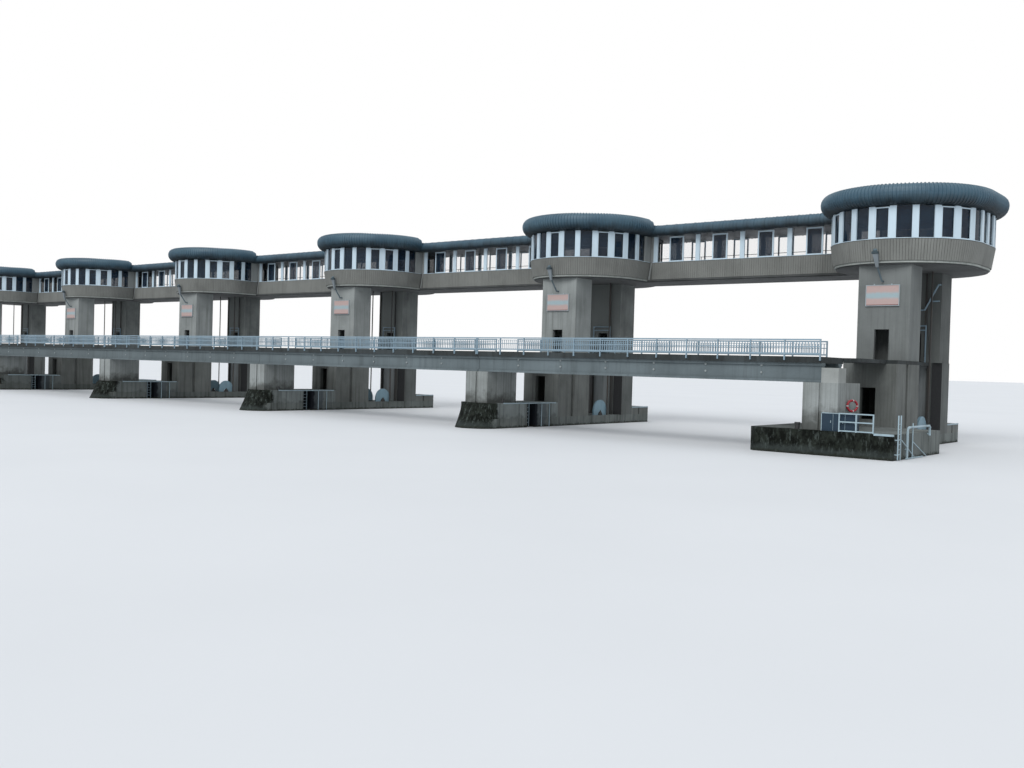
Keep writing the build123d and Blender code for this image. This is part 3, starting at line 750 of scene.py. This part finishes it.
def trench_cutter(x):
    """The space in which the gangways' roofs run on through a cabin's roof, as in the part's source."""
    mesh = bmesh.new()
    rise = ROOF_TOP - GANG_ROOF_TOP
    above = ROOF_TOP + 0.05
    left = x - 2 * ROOF if joined(x, -1) else x
    right = x + 2 * ROOF if joined(x, 1) else x
    bend = [(rise * (1 - c), GANG_ROOF_TOP + rise * s) for s, c in quarter(6)]
    outline = [(GANG_ROOF_REAR + d, z) for d, z in bend]
    outline += [(GANG_ROOF_REAR + rise, above), (GANG_ROOF_FRONT - rise, above)]
    outline += [(GANG_ROOF_FRONT - d, z) for d, z in bend[::-1]]
    skin(mesh, [(left, y, z) for y, z in outline], [(right, y, z) for y, z in outline])
    bmesh.ops.recalc_face_normals(mesh, faces=mesh.faces)
    return mesh


def cut(mesh, cutter):
    """The mesh without what lies inside the cutter, as mesh data."""
    body, tool = loose("body", mesh), loose("tool", cutter)
    modifier = body.modifiers.new("cut", "BOOLEAN")
    modifier.operation = "DIFFERENCE"
    modifier.object = tool
    graph = bpy.context.evaluated_depsgraph_get()
    result = bpy.data.meshes.new_from_object(body.evaluated_get(graph))
    for thing in (body, tool):
        data = thing.data
        bpy.data.objects.remove(thing)
        bpy.data.meshes.remove(data)
    return result


def cabin_roof_skins():
    """The cabins' roofs with standing seams over their rounded rims."""
    points = rim_profile()
    normals = side_normals(points)
    pitch = around(ROOF) / SEAMS
    columns = []
    for i in range(SEAMS):
        start = (i - SEAMS / 2) * pitch
        columns += [(start, SEAM_RISE), (start + SEAM_WIDTH, SEAM_RISE),
                    (start + SEAM_WIDTH + SEAM_SLOPE, 0.0), (start + pitch - SEAM_SLOPE, 0.0)]
    whole = bmesh.new()
    for x in PIERS:
        mesh = bmesh.new()
        rows = []
        for travel, height in columns:
            line, out = on_oval(ROOF, travel)
            row = []
            for k, ((back, z), normal) in enumerate(zip(points, normals)):
                # The seams end before the flat middle, so its rim lies level
                sunk = SEAM_RISE + ROOF_CLEAR - (height if k < len(points) - 1 else 0)
                place = line - out * (back + sunk * max(-normal.x, 0))
                row.append((place.x + x, place.y, z - sunk * normal.y))
            rows.append(loop(mesh, row))
        for a, b in zip(rows, rows[1:] + rows[:1]):
            for k in range(len(points) - 1):
                mesh.faces.new((a[k], b[k], b[k + 1], a[k + 1]))
        mesh.faces.new([row[-1] for row in rows])
        mesh.faces.new([row[0] for row in rows][::-1])
        bmesh.ops.recalc_face_normals(mesh, faces=mesh.faces)
        data = cut(mesh, trench_cutter(x))
        whole.from_mesh(data)
        bpy.data.meshes.remove(data)
    piece("cabin_roof_skins", "roof_metal", whole, ["cabin_roofs"])


def gangway_roof_seams():
    """Standing seams round the gangways' roofs, every third one broader, and flat ones in the trenches."""
    mesh = bmesh.new()
    front, rear, top = GANG_ROOF_FRONT, GANG_ROOF_REAR, GANG_ROOF_TOP
    outline = [(front + GANG_RIM_FOOT * (1 - s), HEAD + GANG_RIM_FOOT * (1 - c)) for s, c in quarter(4)]
    outline += [(front + GANG_RIM_TOP * (1 - c), top - GANG_RIM_TOP * (1 - s)) for s, c in quarter(5)]
    outline += [(front + rear - y, z) for y, z in outline[::-1]]
    normals = side_normals(outline)
    count, reach = 52, 0.785
    for x in SPANS:
        for i in range(count):
            place = x - reach + 2 * reach * i / (count - 1)
            broad = 1.6 if i % 3 == 0 else 1.0
            loops = []
            for (y, z), normal in zip(outline, normals):
                inner = Vector((y, z)) - normal * 0.001
                outer = Vector((y, z)) + normal * 0.0025 * broad
                sides = ((-0.0022, inner), (0.0022, inner), (0.0015, outer), (-0.0015, outer))
                loops.append(loop(mesh, [(place + d * broad, *yz) for d, yz in sides]))
            sweep(mesh, loops)
    first, step, inset = 0.594, 0.0308, GANG_RIM_TOP + 0.005
    for x in PIERS:
        for side in (-1, 1):
            for i in range(19 if joined(x, side) else 0):
                place = x + side * (first - step * i)
                box(mesh, place - 0.002, place + 0.002, front + inset, rear - inset,
                    top - 0.0010, top + 0.0025)
    piece("gangway_roof_seams", "roof_metal", mesh)


def rail_balusters():
    """Balusters of the bridge railings under a thin rail of their own."""
    mesh = bmesh.new()
    low, high, post, parts = DECK_TOP + 0.023, DECK_TOP + 0.088, 0.008, 12
    for x in SPANS:
        for y, half, bays in ((BRIDGE_FRONT - 0.005, 1.398, 12), (BRIDGE_REAR + 0.005, 1.290, 11)):
            step = (2 * half - post) / bays
            for bay in range(bays):
                start = x - half + bay * step + post / 2
                for k in range(1, parts):
                    place = start + k * step / parts
                    box(mesh, place - 0.0024, place + 0.0024, y - 0.0015, y + 0.0015, low, high)
                box(mesh, start - 0.002, start + step - 0.006, y - 0.0018, y + 0.0018,
                    high - 0.0005, high + 0.0030)
    piece("rail_balusters", "rail_paint", mesh)


def girder_studs():
    """Pairs of round anchor heads on the girders' front webs."""
    mesh = bmesh.new()
    pitch = 0.3995
    for x in SPANS:
        for k in range(1, 7):
            place = x - HALF + k * pitch
            for z in (0.543, 0.497):
                points = [(place, GIRDER_WEB + d, z) for d in (0.001, -0.005, -0.007)]
                tube(mesh, points, 0.0075, 10)
    piece("girder_studs", "girder_paint", mesh)


def edge_strips():
    """Steel edge strips on the platforms and the downstream blocks."""
    mesh = bmesh.new()
    for x in PIERS[:-1]:
        box(mesh, x + 0.1775, x + 0.1860, FACE - 0.937, FACE - 0.250, RIVER_TOP - 0.0070, RIVER_TOP + 0.0020)
    for x in PIERS:
        box(mesh, x + 0.1760, x + 0.1865, PIER_REAR + 0.003, PIER_REAR + 0.281,
            BLOCK_TOP - 0.0080, BLOCK_TOP + 0.0025)
    bank = PIERS[-1]
    box(mesh, bank + 0.3550, bank + 0.4725, FACE - 1.1125, FACE - 1.1010,
        BANK_TOP - 0.0100, BANK_TOP + 0.0025)
    piece("edge_strips", "ladder_paint", mesh, bevel=0.001)


def mooring_posts():
    """Two upright pipes on each river platform's side, downstream of the ladder's notch."""
    mesh = bmesh.new()
    aside, wall = 0.1905, 0.1830
    for x in PIERS[:-1]:
        for y in (NOTCH + 0.132, NOTCH + 0.238):
            tube(mesh, [(x + aside, y, 0.004), (x + aside, y, 0.188)], 0.0040)
            for z in (0.090, 0.165):
                tube(mesh, [(x + aside, y, z), (x + wall, y, z)], 0.0025, 6)
    piece("mooring_posts", "ladder_paint", mesh)


def gangway_handrails():
    """A hand rail behind the front windows and another behind the rear ones."""
    mesh = bmesh.new()
    reach, step, top = 0.84, 0.4, SILL + 0.032
    for x in SPANS:
        for y in (GANG_FRONT + 0.045, GANG_REAR - 0.045):
            tube(mesh, [(x - reach, y, top), (x + reach, y, top)], 0.0025, 6)
            for k in range(-2, 3):
                tube(mesh, [(x + k * step, y, SILL - 0.03), (x + k * step, y, SILL + 0.030)], 0.0022, 6)
    piece("gangway_handrails", "steel_gear", mesh)


def gap_pipes():
    """Dark pipes up the front of each rear tower and a slack cable beside one."""
    mesh = bmesh.new()
    front = REAR_FACE - 0.008
    for x in PIERS:
        tube(mesh, [(x - 0.155, front, DECK_TOP), (x - 0.155, front, SOFFIT)], 0.006)
        tube(mesh, [(x + 0.072, front, DECK_TOP + 0.04), (x + 0.072, front, SOFFIT)], 0.005)
        slack = [(x + 0.078 + 0.00009 * k * k, front - 0.004, SOFFIT - 0.004 - 0.032 * k) for k in range(20)]
        tube(mesh, slack, 0.0022, 6)
    piece("gap_pipes", "steel_gear", mesh)


def bank_stair_rails():
    """Pale rails of the stair between the bank pier's towers, each end fixed to the rear tower."""
    mesh = bmesh.new()
    x, front = PIERS[-1], REAR_FACE - 0.02
    low, landing, high = 0.992, 1.055, 1.175
    steps = ((0.010, low), (0.068, low), (0.160, high), (0.174, high))
    tube(mesh, [(x + place, front, level) for place, level in steps], 0.0060)
    tube(mesh, [(x + 0.098, front, landing), (x + 0.170, front, landing)], 0.0055)
    for place, level in ((0.012, low), (0.166, landing), (0.172, high)):
        tube(mesh, [(x + place, front, level), (x + place, REAR_FACE + 0.001, level)], 0.0035, 6)
    piece("bank_stair_rails", "rail_paint", mesh)


def board_frames():
    """Thin frames round the towers' boards, each with two clips at the top."""
    mesh = bmesh.new()
    low, high = BOARD_FOOT, BOARD_HEAD
    y0, y1 = FACE - 0.0105, FACE - 0.0005
    over, lap = 0.0025, 0.002
    for x in PIERS:
        left, right = x + BOARD_X - BOARD_HALF, x + BOARD_X + BOARD_HALF
        box(mesh, left - over, left + lap, y0, y1, low - over, high + over)
        box(mesh, right - lap, right + over, y0, y1, low - over, high + over)
        box(mesh, left + lap, right - lap, y0, y1, high - lap, high + over)
        box(mesh, left + lap, right - lap, y0, y1, low - over, low + lap)
        for side in (-1, 1):
            place = x + BOARD_X + side * 0.06
            box(mesh, place - 0.004, place + 0.004, FACE - 0.006, FACE - 0.0002, high + over, high + 0.010)
    piece("board_frames", "lamp_metal", mesh)


def lamp_hoods():
    """Tapered hoods on the lamps' heads, and their dark rims."""
    hoods, rims = bmesh.new(), bmesh.new()
    foot = (1.238, -0.019, FACE - 0.093, 0.009, 0.010)
    top = (1.345, -0.032, FACE - 0.104, 0.020, 0.017)
    for x in PIERS:
        outlines = []
        for z, dx, y, half, ahead in (foot, top):
            corners = ((-half, -ahead), (half, -ahead), (half, 0.006), (-half, 0.006))
            outlines.append([(x + dx + a, y + b, z) for a, b in corners])
        skin(hoods, *outlines)
        middle, y = x + top[1], top[2]
        box(rims, middle - 0.0215, middle + 0.0215, y - 0.0195, y - 0.0120, 1.330, 1.347)
        box(rims, middle + 0.0175, middle + 0.0215, y - 0.0120, y + 0.0065, 1.330, 1.347)
    piece("lamp_hoods", "lamp_metal", hoods, bevel=0.0015)
    piece("lamp_rims", "lamp_metal", rims, bevel=0.001)


def cabinet_trim():
    """The cabinet's pale edges, door joints and handles."""
    mesh = bmesh.new()
    left, right = PIERS[-1] + 0.025, PIERS[-1] + 0.248
    front = BRIDGE_FRONT - 0.032
    foot, top = BANK_TOP, BANK_TOP + 0.110
    door = (right - left) / 3
    for x in (left, right - 0.004):
        box(mesh, x, x + 0.004, front - 0.0015, front + 0.002, foot, top)
    box(mesh, left, right, front - 0.0015, front + 0.002, top - 0.004, top + 0.001)
    for x in (left + door, left + 2 * door):
        box(mesh, x - 0.0008, x + 0.0008, front - 0.001, front + 0.002, foot + 0.004, top - 0.006)
    for k in range(3):
        x = left + (k + 0.82) * door
        box(mesh, x - 0.002, x + 0.002, front - 0.004, front + 0.001, foot + 0.05, foot + 0.064)
    piece("cabinet_trim", "ladder_paint", mesh)


def ladder_stays():
    """Beside the bank ladder: a bent handrail, a post, slanting stays and the float at their foot."""
    mesh = bmesh.new()
    x = PIERS[-1] + 0.484
    start, end, top = FACE - 0.902, FACE - 0.500, 0.191
    post = start + 0.095
    bend = [(start, 0.003), (start, top - 0.023), (start + 0.008, top - 0.007), (start + 0.024, top),
            (end, top), (end + 0.016, top - 0.011), (end + 0.016, 0.130)]
    tube(mesh, [(x, y, z) for y, z in bend], 0.0070, 10)
    for y, z in ((start, 0.060), (end + 0.016, 0.140)):
        tube(mesh, [(x, y, z), (x - 0.014, y, z)], 0.0040)
    tube(mesh, [(x, post, 0.003), (x, post, 0.215)], 0.0035)
    for y, z, reach in ((post, 0.105, 0.27), (start - 0.105, 0.120, 0.25)):
        tube(mesh, [(x, y, z), (x, y + reach, 0.004)], 0.0030)
    tube(mesh, [(x, start - 0.02, 0.005), (x, start + 0.29, 0.005)], 0.0045)
    piece("ladder_stays", "ladder_paint", mesh)


def notch_shade_plates():
    """Dark plates put in the notches of the arched gate covers as painted shade."""
    mesh = bmesh.new()
    centre = (GAP_FRONT + REAR_FACE) / 2 + 0.015
    foot = PLINTH_TOP + 0.0002
    corners = [(centre - 0.030, foot), (centre + 0.030, foot), (centre, foot + 0.044)]
    for x in PIERS:
        for side in (-1, 1):
            outer = x + side * 0.1405
            near = [(outer - side * 0.012, y, z) for y, z in corners]
            far = [(outer + side * 0.004, y, z) for y, z in corners]
            skin(mesh, near, far)
    piece("notch_shade_plates", "steel_gear", mesh)


cabin_boards()
gangway_boards()
window_sills()
window_sashes()
sash_panes()
joint_covers()
cabin_roof_skins()
gangway_roof_seams()
rail_balusters()
girder_studs()
edge_strips()
mooring_posts()
gangway_handrails()
gap_pipes()
bank_stair_rails()
board_frames()
lamp_hoods()
cabinet_trim()
ladder_stays()
notch_shade_plates()


def light_sky():
    """Soft light from all round, seen as plain white by the camera and through glass."""
    world = bpy.data.worlds.new("sky")
    scene.world = world
    world.use_nodes = True
    tree = world.node_tree
    back = tree.nodes["Background"]
    back.inputs[0].default_value = (0.93, 0.96, 1.0, 1)
    back.inputs[1].default_value = 0.85
    white = tree.nodes.new("ShaderNodeBackground")
    white.inputs[0].default_value = (1, 1, 1, 1)
    rays = tree.nodes.new("ShaderNodeLightPath")
    seen = tree.nodes.new("ShaderNodeMath")
    seen.operation = "MAXIMUM"
    tree.links.new(rays.outputs["Is Camera Ray"], seen.inputs[0])
    tree.links.new(rays.outputs["Is Transmission Ray"], seen.inputs[1])
    blend = tree.nodes.new("ShaderNodeMixShader")
    tree.links.new(seen.outputs[0], blend.inputs[0])
    tree.links.new(back.outputs[0], blend.inputs[1])
    tree.links.new(white.outputs[0], blend.inputs[2])
    tree.links.new(blend.outputs[0], tree.nodes["World Output"].inputs[0])


def lay_floor():
    ground = bmesh.new()
    bmesh.ops.create_grid(ground, x_segments=2, y_segments=2, size=200)
    floor = loose("floor", ground)
    pale = Paint("floor")
    tone = pale.mix(pale.noise(0.6), (0.62, 0.64, 0.66), (0.68, 0.70, 0.72))
    floor.data.materials.append(pale.finish(tone, 0.7))


def hang_lamp():
    sun = bpy.data.lights.new("sun", "SUN")
    sun.energy = 1.7
    sun.angle = 0.6
    lamp = bpy.data.objects.new("sun", sun)
    lamp.rotation_euler = (math.radians(48), 0, math.radians(10))
    scene.collection.objects.link(lamp)


light_sky()
lay_floor()
hang_lamp()
scene.view_settings.view_transform = "Standard"
